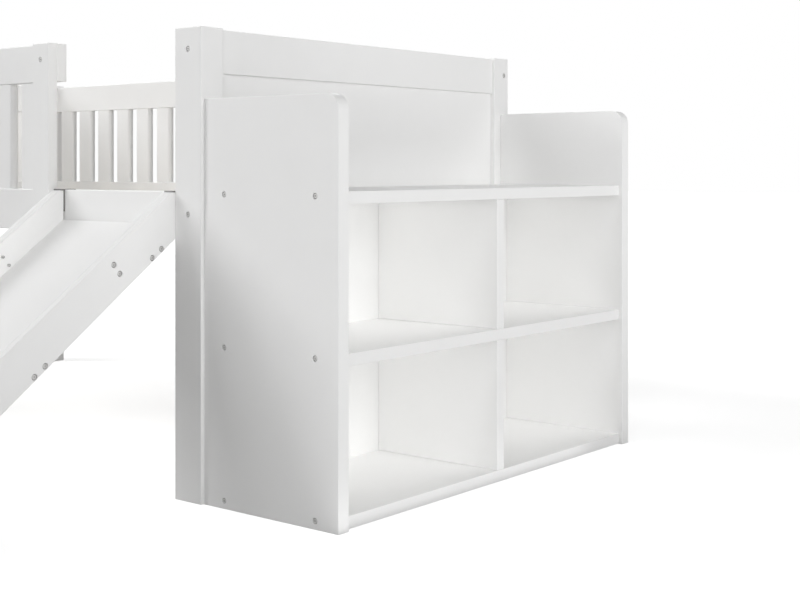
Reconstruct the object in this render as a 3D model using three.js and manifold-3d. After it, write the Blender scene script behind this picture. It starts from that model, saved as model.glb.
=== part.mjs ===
// Low loft bed with a slide at its front, a ladder, and a bookcase across its head end.
// Millimetres, +Z up. The layout frame has X = 0 at the outer face of the head posts with the bed
// running towards -X, Y = 0 at the front face of the posts and Z = 0 at the floor. The finished
// group is moved so that the origin is the middle of the whole footprint, at floor level.
import * as THREE from 'three';
import { RoundedBoxGeometry } from 'three/addons/geometries/RoundedBoxGeometry.js';
import { mergeVertices } from 'three/addons/utils/BufferGeometryUtils.js';
import Module from 'manifold-3d';

const wasm = await Module();
wasm.setup();

// Clearance between pieces that meet, overrun of a cut past the face it opens, and eased edges
const FIT = 0.3;
const OVERRUN = 2;
const EDGE = 1.5;
const THIN_EDGE = 1;

// Facets of a rounded outline, of a slat's edge and of a round bar
const CURVE_STEPS = 6;
const SLAT_EDGE_STEPS = 4;
const BAR_SIDES = 16;

// Bed frame
const CLEAR_LENGTH = 1916;
const BED_WIDTH = 1066;
const POST_ALONG = 82;
const POST_ACROSS = 60;
const POST_HEIGHT = 990;
const POST_BOLT_DROP = 45;
const RAIL_BOTTOM = 552;
const RAIL_HEIGHT = 95;
const RAIL_THICKNESS = 25;
const RAIL_INSET = 5.5;

// End frames: a proud top rail, a recessed panel and a lower rail level with the side rails
const END_RAIL_THICKNESS = 30;
const END_RAIL_INSET = 7;
const END_TOP_RAIL_HEIGHT = 92;
const END_TOP_RAIL_DROP = 3;
const PANEL_THICKNESS = 12;
const PANEL_INSET = 13.5;
const PANEL_TONGUE = 8;

// Guards: a top rail with vertical slats
const GUARD_RAIL_HEIGHT = 87;
const GUARD_RAIL_DROP = 7.5;
const GUARD_SLAT_WIDTH = 72;
const GUARD_SLAT_THICKNESS = 21;
const GUARD_SLAT_PITCH = 106;
const GUARD_SLAT_EDGE = 9.5;
const GUARD_SLAT_TENON = 12;
const GUARD_POST_WIDTH = 60;
const GUARD_POST_THICKNESS = 24;

// Platform
const LEDGER_SIZE = 25;
const PLATFORM_SLAT_COUNT = 10;
const PLATFORM_SLAT_WIDTH = 70;
const PLATFORM_SLAT_THICKNESS = 20;
const PLATFORM_SLAT_END_GAP = 2;

// Slide
const SLIDE_WIDTH = 420;
const SLIDE_LOW_EDGE = 546;
const SLIDE_SIDE_DEPTH = 85;
const SLIDE_SIDE_THICKNESS = 15;
const SLIDE_CHEEK_THICKNESS = 14;
const SLIDE_REACH = 810;
const SLIDE_NOSE_HEIGHT = 34;
const SLIDE_NOSE_RADIUS = 30;
const SLIDE_TOE_RADIUS = 8;
const SLIDE_FLOOR_THICKNESS = 10;
const BATTEN_THICKNESS = 14;
const BATTEN_WIDTH = 70;
const BATTEN_COUNT = 3;
const BATTEN_TOP_SETBACK = 53.4;
const BATTEN_LOW_SETBACK = 150;
const BATTEN_BOLT_SPACING = 29.6;
const CHEEK_BOLT_SETBACK = 149;
const CHEEK_BOLT_EDGE = 34.3;
const CHEEK_BOLT_SPACING = 23.8;
const HOOK_THICKNESS = 3;
const HOOK_RECESS = 2;
const HOOK_TAB = 6.2;
const HOOK_FRONT_DROP = 48;
const HOOK_BACK_DROP = 36;

// Ladder
const LADDER_WIDTH = 420;
const STRINGER_THICKNESS = 30;
const STRINGER_DEPTH = 70;
const TREAD_COUNT = 3;
const TREAD_THICKNESS = 25;
const TREAD_INSET = 5;

// Bookcase
const BOOKCASE_DEPTH = 383;
const BOOKCASE_HEIGHT = 840;
const BOOKCASE_WIDTH = 1054;
const BOOKCASE_INSET = 7.5;
const BOOKCASE_SIDE_THICKNESS = 29.5;
const BOOKCASE_CORNER_RADIUS = 32;
const SHELF_THICKNESS = 25;
const SHELF_SETBACK = 10;
const SHELF_FLOOR_GAP = 1.5;
const CUBBY_HEIGHT = 287.75;
const DIVIDER_THICKNESS = 25.5;
const BACK_PANEL_THICKNESS = 9;
const BACK_PANEL_INSET = 11;
const BACK_PANEL_TONGUE = 6;

// Bolts: a round head with a hexagon socket, sunk in a counterbore
const COUNTERBORE_RADIUS = 6.3;
const COUNTERBORE_DEPTH = 4.5;
const BOLT_HEAD_RADIUS = 5.8;
const BOLT_HEAD_THICKNESS = 3.4;
const BOLT_HEAD_CHAMFER = 0.8;
const BOLT_SHANK_RADIUS = 3.2;
const BOLT_LENGTH = 100;
const SHELF_BOLT_LENGTH = 64;
const SOCKET_RADIUS = 2.6;
const SOCKET_DEPTH = 2.4;
const SOCKET_SIDES = 6;
const SHELF_BOLT_SETBACK = 62;
const SHELF_BOLT_RISE = 3;

// Levels and planes worked out from the sizes above
const BED_LENGTH = CLEAR_LENGTH + 2 * POST_ALONG;
const RAIL_TOP = RAIL_BOTTOM + RAIL_HEIGHT;
const RAIL_MIDDLE = RAIL_BOTTOM + RAIL_HEIGHT / 2;
const HEAD_INSIDE = -POST_ALONG;
const FOOT_INSIDE = -BED_LENGTH + POST_ALONG;
const RAIL_INNER_FACE = RAIL_INSET + RAIL_THICKNESS;
const END_TOP_RAIL = [POST_HEIGHT - END_TOP_RAIL_DROP - END_TOP_RAIL_HEIGHT, POST_HEIGHT - END_TOP_RAIL_DROP];
const GUARD_RAIL = [POST_HEIGHT - GUARD_RAIL_DROP - GUARD_RAIL_HEIGHT, POST_HEIGHT - GUARD_RAIL_DROP];
const POST_BOLT_LEVEL = POST_HEIGHT - POST_BOLT_DROP;
const BOOKCASE_BACK = FIT;
const BOOKCASE_FRONT = BOOKCASE_BACK + BOOKCASE_DEPTH;

// The slide's level top, and its slope: the upper edge falls from there to the height of the nose
const SLIDE_TOP = RAIL_TOP - HOOK_RECESS;
const SLIDE_FALL = SLIDE_LOW_EDGE - SLIDE_NOSE_HEIGHT;
const SLIDE_SLOPE = Math.atan2(SLIDE_FALL, SLIDE_REACH)
  + Math.asin(SLIDE_SIDE_DEPTH / Math.hypot(SLIDE_FALL, SLIDE_REACH));

// Directions
const X_AXIS = new THREE.Vector3(1, 0, 0);
const Y_AXIS = new THREE.Vector3(0, 1, 0);
const Z_AXIS = new THREE.Vector3(0, 0, 1);

const whitePaint = new THREE.MeshStandardMaterial({ color: 0xf2f1ef, roughness: 0.42, metalness: 0 });
const palePine = new THREE.MeshStandardMaterial({ color: 0xe4d3b4, roughness: 0.6, metalness: 0 });
const darkSteel = new THREE.MeshStandardMaterial({ color: 0x7c7975, roughness: 0.4, metalness: 0.9 });

// A closed solid from a geometry, and back
function solidOf(geometry) {
  const bare = geometry.clone();
  for (const name of Object.keys(bare.attributes)) {
    if (name !== 'position') bare.deleteAttribute(name);
  }
  const merged = mergeVertices(bare);
  return new wasm.Manifold(new wasm.Mesh({
    numProp: 3,
    vertProperties: new Float32Array(merged.attributes.position.array),
    triVerts: new Uint32Array(merged.index.array),
  }));
}

function geometryOf(solid) {
  const mesh = solid.getMesh();
  const geometry = new THREE.BufferGeometry();
  geometry.setAttribute('position', new THREE.BufferAttribute(mesh.vertProperties, 3));
  geometry.setIndex(new THREE.BufferAttribute(mesh.triVerts, 1));
  return geometry;
}

// The geometry joined with some geometries and cut by others
function shaped(geometry, joins, cuts) {
  if (joins.length + cuts.length === 0) return geometry;
  let solid = solidOf(geometry);
  for (const join of joins) solid = solid.add(solidOf(join));
  for (const cut of cuts) solid = solid.subtract(solidOf(cut));
  return geometryOf(solid);
}

// A named mesh whose geometry is drawn in the layout frame and then centred on the mesh's own place
function placed(name, material, geometry, { joins = [], cuts = [] } = {}) {
  const finished = shaped(geometry, joins, cuts);
  finished.computeBoundingBox();
  const centre = finished.boundingBox.getCenter(new THREE.Vector3());
  finished.translate(-centre.x, -centre.y, -centre.z);
  finished.computeVertexNormals();
  const mesh = new THREE.Mesh(finished, material);
  mesh.name = name;
  mesh.position.copy(centre);
  return mesh;
}

const middle = ([low, high]) => (low + high) / 2;
const extent = ([low, high]) => high - low;
const grown = ([low, high], by) => [low - by, high + by];

// A board with eased edges, and a sharp block, over spans along X, Y and Z
function easedBlock(x, y, z, edge = EDGE) {
  const block = new RoundedBoxGeometry(extent(x), extent(y), extent(z), 1, edge);
  return block.translate(middle(x), middle(y), middle(z));
}

function sharpBlock(x, y, z) {
  const block = new THREE.BoxGeometry(extent(x), extent(y), extent(z));
  return block.translate(middle(x), middle(y), middle(z));
}

function board(name, material, x, y, z, { edge, joins, cuts } = {}) {
  return placed(name, material, easedBlock(x, y, z, edge), { joins, cuts });
}

// The shape inside a ring of corners, each rounded by its own radius (none where it is zero)
function roundedShape(corners) {
  const points = corners.map(([a, b]) => new THREE.Vector2(a, b));
  const shape = new THREE.Shape();
  const count = points.length;
  corners.forEach(([, , radius = 0], i) => {
    const corner = points[i];
    const before = points[(i + count - 1) % count].clone().sub(corner).normalize();
    const after = points[(i + 1) % count].clone().sub(corner).normalize();
    const half = Math.acos(THREE.MathUtils.clamp(before.dot(after), -1, 1)) / 2;
    const reach = radius / Math.tan(half);
    const start = corner.clone().addScaledVector(before, reach);
    const end = corner.clone().addScaledVector(after, reach);
    if (i === 0) shape.moveTo(start.x, start.y);
    else shape.lineTo(start.x, start.y);
    if (radius > 0) {
      const centre = before.clone().add(after).normalize().multiplyScalar(radius / Math.sin(half)).add(corner);
      const from = start.clone().sub(centre).angle();
      const to = end.clone().sub(centre).angle();
      shape.absarc(centre.x, centre.y, radius, from, to, before.cross(after) > 0);
    }
  });
  shape.closePath();
  return shape;
}

// A plate with eased edges: its outline lies in the plane of the first two axes, and it is as thick
// along the third as the span is long
function plate(corners, [first, second, third], span, edge) {
  const extruded = new THREE.ExtrudeGeometry(roundedShape(corners), {
    depth: extent(span) - 2 * edge,
    bevelEnabled: edge > 0,
    bevelThickness: edge,
    bevelSize: edge,
    bevelOffset: -edge,
    bevelSegments: 1,
    curveSegments: CURVE_STEPS,
  });
  extruded.translate(0, 0, edge);
  return extruded.applyMatrix4(new THREE.Matrix4().makeBasis(first, second, third));
}

// Corners in (Y, Z) and thick along X, or corners in (X, Z) and thick along Y
function plateAlongX(corners, x, edge) {
  return plate(corners, [Y_AXIS, Z_AXIS, X_AXIS], x, edge).translate(x[0], 0, 0);
}

function plateAlongY(corners, y, edge) {
  return plate(corners, [X_AXIS, Z_AXIS, Y_AXIS.clone().negate()], y, edge).translate(0, y[1], 0);
}

// A round bar that starts at a point and runs in a direction
function roundBar(start, direction, length, radius, sides = BAR_SIDES) {
  const bar = new THREE.CylinderGeometry(radius, radius, length, sides);
  bar.translate(0, length / 2, 0);
  bar.applyQuaternion(new THREE.Quaternion().setFromUnitVectors(Y_AXIS, direction));
  return bar.translate(start.x, start.y, start.z);
}

// The recess for a bolt head, opened at a point of a face, and with it the hole for the shank
function counterbore({ at, into }) {
  const start = at.clone().addScaledVector(into, -OVERRUN);
  return roundBar(start, into, COUNTERBORE_DEPTH + OVERRUN, COUNTERBORE_RADIUS);
}

function boltHole(place) {
  return roundBar(place.at, place.into, place.length + OVERRUN, BOLT_SHANK_RADIUS + FIT);
}

function boltCuts(places) {
  return places.flatMap((place) => [counterbore(place), boltHole(place)]);
}

// The slide's two sides as X spans: the outer board, the cheek inside it, and both together. `face` is
// the X of the outer face and `into` points from there towards the chute.
function slideSides() {
  const outerX = [HEAD_INSIDE - FIT - SLIDE_WIDTH, HEAD_INSIDE - FIT];
  const sideAt = (face, inward) => {
    const along = (from, to) => [face + inward * from, face + inward * to].sort((a, b) => a - b);
    const cheekStart = SLIDE_SIDE_THICKNESS + FIT;
    return {
      face,
      into: X_AXIS.clone().multiplyScalar(inward),
      outer: along(0, SLIDE_SIDE_THICKNESS),
      cheek: along(cheekStart, cheekStart + SLIDE_CHEEK_THICKNESS),
      whole: along(0, cheekStart + SLIDE_CHEEK_THICKNESS),
    };
  };
  return { head: sideAt(outerX[1], -1), foot: sideAt(outerX[0], 1) };
}

// A bolt seated at the bottom of its counterbore
function bolt(name, { at, into, length }) {
  const seat = COUNTERBORE_DEPTH - FIT;
  const top = seat - BOLT_HEAD_THICKNESS;
  const profile = [
    [0, top],
    [BOLT_HEAD_RADIUS - BOLT_HEAD_CHAMFER, top],
    [BOLT_HEAD_RADIUS, top + BOLT_HEAD_CHAMFER],
    [BOLT_HEAD_RADIUS, seat],
    [BOLT_SHANK_RADIUS, seat],
    [BOLT_SHANK_RADIUS, length],
    [0, length],
  ].map(([radius, along]) => new THREE.Vector2(radius, along));
  const body = new THREE.LatheGeometry(profile, BAR_SIDES);
  const socket = roundBar(new THREE.Vector3(0, top - OVERRUN, 0), Y_AXIS, SOCKET_DEPTH + OVERRUN, SOCKET_RADIUS, SOCKET_SIDES);
  const finished = shaped(body, [], [socket]);
  finished.applyQuaternion(new THREE.Quaternion().setFromUnitVectors(Y_AXIS, into));
  finished.translate(at.x, at.y, at.z);
  return placed(name, darkSteel, finished);
}

// Posts and the frame at one end. `outer` is the X of the end's outer face, `inward` points into the bed.
function endFrame(end, outer, inward, extraCuts) {
  const along = (from, to) => [outer + inward * from, outer + inward * to].sort((a, b) => a - b);
  const betweenPosts = [POST_ACROSS + FIT, BED_WIDTH - POST_ACROSS - FIT];
  const panelX = along(PANEL_INSET, PANEL_INSET + PANEL_THICKNESS);
  const panelY = grown([POST_ACROSS, BED_WIDTH - POST_ACROSS], PANEL_TONGUE);
  const panelZ = grown([RAIL_TOP, END_TOP_RAIL[0]], PANEL_TONGUE);
  const groove = sharpBlock(grown(panelX, FIT), grown(panelY, FIT), grown(panelZ, FIT));
  const railX = along(END_RAIL_INSET, END_RAIL_INSET + END_RAIL_THICKNESS);
  const postX = along(0, POST_ALONG);
  const boltsAt = (y, into) => [POST_BOLT_LEVEL, RAIL_MIDDLE].map((level) => ({
    at: new THREE.Vector3(middle(postX), y, level),
    into,
    length: BOLT_LENGTH,
  }));
  const frontBolts = boltsAt(0, Y_AXIS);
  const backBolts = boltsAt(BED_WIDTH, Y_AXIS.clone().negate());
  const seatedFront = end === 'head';
  const frontCuts = seatedFront ? boltCuts(frontBolts) : frontBolts.map(counterbore);
  const railCuts = seatedFront ? frontBolts.map(boltHole) : [];
  const pieces = [
    board(`${end}_post_front`, whitePaint, postX, [0, POST_ACROSS], [0, POST_HEIGHT], {
      cuts: [groove, ...frontCuts, ...extraCuts.front],
    }),
    board(`${end}_post_back`, whitePaint, postX, [BED_WIDTH - POST_ACROSS, BED_WIDTH], [0, POST_HEIGHT], {
      cuts: [groove, ...backBolts.map(counterbore), ...extraCuts.back],
    }),
    board(`${end}_top_rail`, whitePaint, railX, betweenPosts, END_TOP_RAIL, { cuts: [groove, ...railCuts] }),
    board(`${end}_lower_rail`, whitePaint, railX, betweenPosts, [RAIL_BOTTOM, RAIL_TOP], {
      cuts: [groove, ...railCuts],
    }),
    board(`${end}_panel`, whitePaint, panelX, panelY, panelZ, { edge: THIN_EDGE }),
  ];
  if (seatedFront) {
    pieces.push(bolt('bolt_head_top_rail', frontBolts[0]), bolt('bolt_head_lower_rail', frontBolts[1]));
  }
  return pieces;
}

// A guard between two X planes: the top rail with slats under it at an even pitch, in one glued piece
function guard(name, x, slatX, outerFace, inward, extraCuts = []) {
  const railY = [outerFace, outerFace + inward * RAIL_THICKNESS].sort((a, b) => a - b);
  const centreY = middle(railY);
  const slatY = [centreY - GUARD_SLAT_THICKNESS / 2, centreY + GUARD_SLAT_THICKNESS / 2];
  const count = Math.floor((extent(slatX) - GUARD_SLAT_WIDTH) / GUARD_SLAT_PITCH) + 1;
  const first = middle(slatX) - ((count - 1) * GUARD_SLAT_PITCH + GUARD_SLAT_WIDTH) / 2;
  const slatZ = [RAIL_TOP + FIT, GUARD_RAIL[0] + GUARD_SLAT_TENON];
  const slats = Array.from({ length: count }, (_, i) => {
    const start = first + i * GUARD_SLAT_PITCH;
    const corners = [
      [start, slatY[0], GUARD_SLAT_EDGE],
      [start + GUARD_SLAT_WIDTH, slatY[0], GUARD_SLAT_EDGE],
      [start + GUARD_SLAT_WIDTH, slatY[1], GUARD_SLAT_EDGE],
      [start, slatY[1], GUARD_SLAT_EDGE],
    ];
    const slat = new THREE.ExtrudeGeometry(roundedShape(corners), {
      depth: extent(slatZ),
      bevelEnabled: false,
      curveSegments: SLAT_EDGE_STEPS,
    });
    return slat.translate(0, 0, slatZ[0]);
  });
  return board(name, whitePaint, x, railY, GUARD_RAIL, { joins: slats, cuts: extraCuts });
}

// Side rails, ledgers and the slats that they carry
function sideFrame() {
  const x = [FOOT_INSIDE + FIT, HEAD_INSIDE - FIT];
  const z = [RAIL_BOTTOM, RAIL_TOP];
  const ledgerZ = [RAIL_BOTTOM, RAIL_BOTTOM + LEDGER_SIZE];
  const ledgerY = [RAIL_INNER_FACE + FIT, RAIL_INNER_FACE + FIT + LEDGER_SIZE];
  const mirrored = ([low, high]) => [BED_WIDTH - high, BED_WIDTH - low];
  const frontY = [RAIL_INSET, RAIL_INNER_FACE];
  const recesses = Object.values(slideSides()).map(({ whole }) => sharpBlock(
    grown(whole, FIT),
    grown(frontY, OVERRUN),
    [SLIDE_TOP, RAIL_TOP + OVERRUN],
  ));
  const pieces = [
    board('side_rail_front', whitePaint, x, frontY, z, { cuts: recesses }),
    board('side_rail_back', whitePaint, x, mirrored(frontY), z),
    board('slat_ledger_front', palePine, x, ledgerY, ledgerZ, { edge: THIN_EDGE }),
    board('slat_ledger_back', palePine, x, mirrored(ledgerY), ledgerZ, { edge: THIN_EDGE }),
  ];
  const pitch = CLEAR_LENGTH / PLATFORM_SLAT_COUNT;
  const slatY = [RAIL_INNER_FACE + PLATFORM_SLAT_END_GAP, BED_WIDTH - RAIL_INNER_FACE - PLATFORM_SLAT_END_GAP];
  const slatZ = [ledgerZ[1] + FIT, ledgerZ[1] + FIT + PLATFORM_SLAT_THICKNESS];
  for (let i = 0; i < PLATFORM_SLAT_COUNT; i += 1) {
    const centre = HEAD_INSIDE - pitch * (i + 1 / 2);
    const slatX = [centre - PLATFORM_SLAT_WIDTH / 2, centre + PLATFORM_SLAT_WIDTH / 2];
    pieces.push(board(`platform_slat_${i + 1}`, palePine, slatX, slatY, slatZ, { edge: THIN_EDGE }));
  }
  return pieces;
}

// The bed: both ends, the side frame and the two guards
function bed() {
  const sideRailBolt = (x, y, into) => ({ at: new THREE.Vector3(x, y, RAIL_MIDDLE), into, length: BOLT_LENGTH });
  const guardBolt = (x, y, into) => ({ at: new THREE.Vector3(x, y, POST_BOLT_LEVEL), into, length: BOLT_LENGTH });
  const frontLine = RAIL_INSET + RAIL_THICKNESS / 2;
  const backLine = BED_WIDTH - frontLine;
  const headGuardBolt = guardBolt(0, backLine, X_AXIS.clone().negate());
  const headCuts = { front: [], back: boltCuts([headGuardBolt]) };
  const footCuts = {
    front: [counterbore(sideRailBolt(-BED_LENGTH, frontLine, X_AXIS))],
    back: [
      counterbore(sideRailBolt(-BED_LENGTH, backLine, X_AXIS)),
      counterbore(guardBolt(-BED_LENGTH, backLine, X_AXIS)),
    ],
  };
  const clearX = [FOOT_INSIDE, HEAD_INSIDE];
  const guardPostHead = [HEAD_INSIDE - SLIDE_WIDTH - 2 * FIT - GUARD_POST_WIDTH, HEAD_INSIDE - SLIDE_WIDTH - 2 * FIT];
  const guardPostFoot = [FOOT_INSIDE + LADDER_WIDTH + 2 * FIT, FOOT_INSIDE + LADDER_WIDTH + 2 * FIT + GUARD_POST_WIDTH];
  const guardPostY = [RAIL_INSET - FIT - GUARD_POST_THICKNESS, RAIL_INSET - FIT];
  const guardPost = (name, x) => board(name, whitePaint, x, guardPostY, [RAIL_BOTTOM, GUARD_RAIL[1]], {
    cuts: [RAIL_MIDDLE, POST_BOLT_LEVEL].map((level) => counterbore({
      at: new THREE.Vector3(middle(x), guardPostY[0], level),
      into: Y_AXIS,
    })),
  });
  const frontGuardX = [guardPostFoot[0], guardPostHead[1]];
  const group = new THREE.Group();
  group.add(
    ...endFrame('head', 0, -1, headCuts),
    ...endFrame('foot', -BED_LENGTH, 1, footCuts),
    ...sideFrame(),
    guard('guard_back', grown(clearX, -FIT), clearX, BED_WIDTH - RAIL_INSET, -1, [boltHole(headGuardBolt)]),
    guard('guard_front', frontGuardX, [guardPostFoot[1], guardPostHead[0]], RAIL_INSET, 1),
    guardPost('guard_post_slide', guardPostHead),
    guardPost('guard_post_ladder', guardPostFoot),
    bolt('bolt_guard_rail', headGuardBolt),
  );
  return group;
}

// The slide hangs on the front side rail next to the head post. Its boards follow one slope: `across`
// is measured square to the slope from the lower edge of the side boards, `y` along the floor.
function slide() {
  const rise = Math.tan(SLIDE_SLOPE);
  const level = (across, y) => SLIDE_LOW_EDGE + across / Math.cos(SLIDE_SLOPE) + rise * y;
  const reach = (across, z) => (z - SLIDE_LOW_EDGE - across / Math.cos(SLIDE_SLOPE)) / rise;
  const top = RAIL_INSET - 2 * FIT - HOOK_THICKNESS;
  const sides = slideSides();
  const sideCorners = [
    [top, level(0, top)],
    [top, SLIDE_TOP],
    [reach(SLIDE_SIDE_DEPTH, SLIDE_TOP), SLIDE_TOP],
    [-SLIDE_REACH, level(SLIDE_SIDE_DEPTH, -SLIDE_REACH), SLIDE_NOSE_RADIUS],
    [-SLIDE_REACH, 0, SLIDE_TOE_RADIUS],
    [reach(0, 0), 0],
  ];
  const floorLow = BATTEN_THICKNESS + FIT;
  const floorHigh = floorLow + SLIDE_FLOOR_THICKNESS;
  const cheekLow = floorHigh + FIT;
  const cheekCorners = [
    [top, level(cheekLow, top)],
    [top, SLIDE_TOP],
    [reach(SLIDE_SIDE_DEPTH, SLIDE_TOP), SLIDE_TOP],
    [-SLIDE_REACH, level(SLIDE_SIDE_DEPTH, -SLIDE_REACH), SLIDE_NOSE_RADIUS],
    [-SLIDE_REACH, 0, SLIDE_TOE_RADIUS],
    [reach(cheekLow, 0), 0],
  ];
  const floorCorners = [
    [top, level(floorLow, top)],
    [top, level(floorHigh, top)],
    [reach(floorHigh, 0), 0],
    [reach(floorLow, 0), 0],
  ];
  const slope = new THREE.Vector3(0, Math.cos(SLIDE_SLOPE), Math.sin(SLIDE_SLOPE));
  const square = new THREE.Vector3(0, -Math.sin(SLIDE_SLOPE), Math.cos(SLIDE_SLOPE));
  // A point of the slide: `down` along the lower edge from its top end, `across` square to it
  const onSide = (x, down, across) => new THREE.Vector3(x, 0, SLIDE_LOW_EDGE)
    .addScaledVector(slope, -down)
    .addScaledVector(square, across);
  const insideX = grown([sides.foot.outer[1], sides.head.outer[0]], -FIT);
  const lowest = -reach(0, 0) / Math.cos(SLIDE_SLOPE) - BATTEN_LOW_SETBACK;
  const battenStep = (lowest - BATTEN_TOP_SETBACK) / (BATTEN_COUNT - 1);
  const battenPlaces = Array.from({ length: BATTEN_COUNT }, (_, i) => BATTEN_TOP_SETBACK + i * battenStep);
  const group = new THREE.Group();
  for (const [end, { face, into, outer, cheek, whole }] of Object.entries(sides)) {
    const boltPlaces = [
      ...battenPlaces.flatMap((down) => [-BATTEN_BOLT_SPACING / 2, BATTEN_BOLT_SPACING / 2].map((step) => ({
        at: onSide(face, down + step, BATTEN_THICKNESS / 2),
        into,
      }))),
      ...[0, CHEEK_BOLT_SPACING].map((step) => ({
        at: onSide(face, CHEEK_BOLT_SETBACK, CHEEK_BOLT_EDGE + step),
        into,
      })),
    ];
    group.add(
      placed(`slide_side_${end}`, whitePaint, plateAlongX(sideCorners, outer, THIN_EDGE), {
        cuts: boltPlaces.map(counterbore),
      }),
      placed(`slide_cheek_${end}`, whitePaint, plateAlongX(cheekCorners, cheek, THIN_EDGE)),
      slideHook(`slide_hook_${end}`, whole, top),
    );
  }
  group.add(placed('slide_floor', whitePaint, plateAlongX(floorCorners, insideX, 0)));
  battenPlaces.forEach((down, i) => {
    const corners = [
      [down + BATTEN_WIDTH / 2, 0],
      [down - BATTEN_WIDTH / 2, 0],
      [down - BATTEN_WIDTH / 2, BATTEN_THICKNESS],
      [down + BATTEN_WIDTH / 2, BATTEN_THICKNESS],
    ].map(([along, across]) => onSide(0, along, across)).map(({ y, z }) => [y, z]);
    group.add(placed(`slide_batten_${i + 1}`, whitePaint, plateAlongX(corners, insideX, 0)));
  });
  return group;
}

// A steel saddle in a recess of the side rail: its tab lies on the slide's level top, its front leg is
// fixed to the slide's end and its back leg drops inside
function slideHook(name, x, slideTop) {
  const tabFront = slideTop - HOOK_TAB;
  const legFront = slideTop + FIT;
  const legBack = RAIL_INNER_FACE + FIT;
  const under = SLIDE_TOP + FIT;
  const corners = [
    [tabFront, under],
    [legFront, under],
    [legFront, under - HOOK_FRONT_DROP],
    [legFront + HOOK_THICKNESS, under - HOOK_FRONT_DROP],
    [legFront + HOOK_THICKNESS, under],
    [legBack, under],
    [legBack, under - HOOK_BACK_DROP],
    [legBack + HOOK_THICKNESS, under - HOOK_BACK_DROP],
    [legBack + HOOK_THICKNESS, under + HOOK_THICKNESS],
    [tabFront, under + HOOK_THICKNESS],
  ];
  return placed(name, darkSteel, plateAlongX(corners, x, 0));
}

// The ladder stands against the front side rail next to the foot post
function ladder() {
  const outerX = [FOOT_INSIDE + FIT, FOOT_INSIDE + FIT + LADDER_WIDTH];
  const y = [RAIL_INSET - FIT - STRINGER_DEPTH, RAIL_INSET - FIT];
  const stringers = {
    foot: { x: [outerX[0], outerX[0] + STRINGER_THICKNESS], face: outerX[0], into: X_AXIS },
    head: { x: [outerX[1] - STRINGER_THICKNESS, outerX[1]], face: outerX[1], into: X_AXIS.clone().negate() },
  };
  const treadX = [stringers.foot.x[1] + FIT, stringers.head.x[0] - FIT];
  const treadY = [y[0] + TREAD_INSET, y[1] - TREAD_INSET];
  const spacing = RAIL_TOP / (TREAD_COUNT + 1);
  const treadTops = Array.from({ length: TREAD_COUNT }, (_, i) => spacing * (i + 1));
  const corners = [
    [y[0], 0],
    [y[1], 0],
    [y[1], GUARD_RAIL[1]],
    [y[0], GUARD_RAIL[1], BOOKCASE_CORNER_RADIUS],
  ];
  const group = new THREE.Group();
  for (const [end, { x, face, into }] of Object.entries(stringers)) {
    const places = treadTops.map((top) => ({
      at: new THREE.Vector3(face, middle(y), top - TREAD_THICKNESS / 2),
      into,
    }));
    const railBolt = { at: new THREE.Vector3(middle(x), y[0], RAIL_MIDDLE), into: Y_AXIS };
    group.add(placed(`ladder_stringer_${end}`, whitePaint, plateAlongX(corners, x, THIN_EDGE), {
      cuts: [...places, railBolt].map(counterbore),
    }));
  }
  treadTops.forEach((top, i) => {
    group.add(board(`ladder_tread_${i + 1}`, whitePaint, treadX, treadY, [top - TREAD_THICKNESS, top]));
  });
  return group;
}

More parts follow.
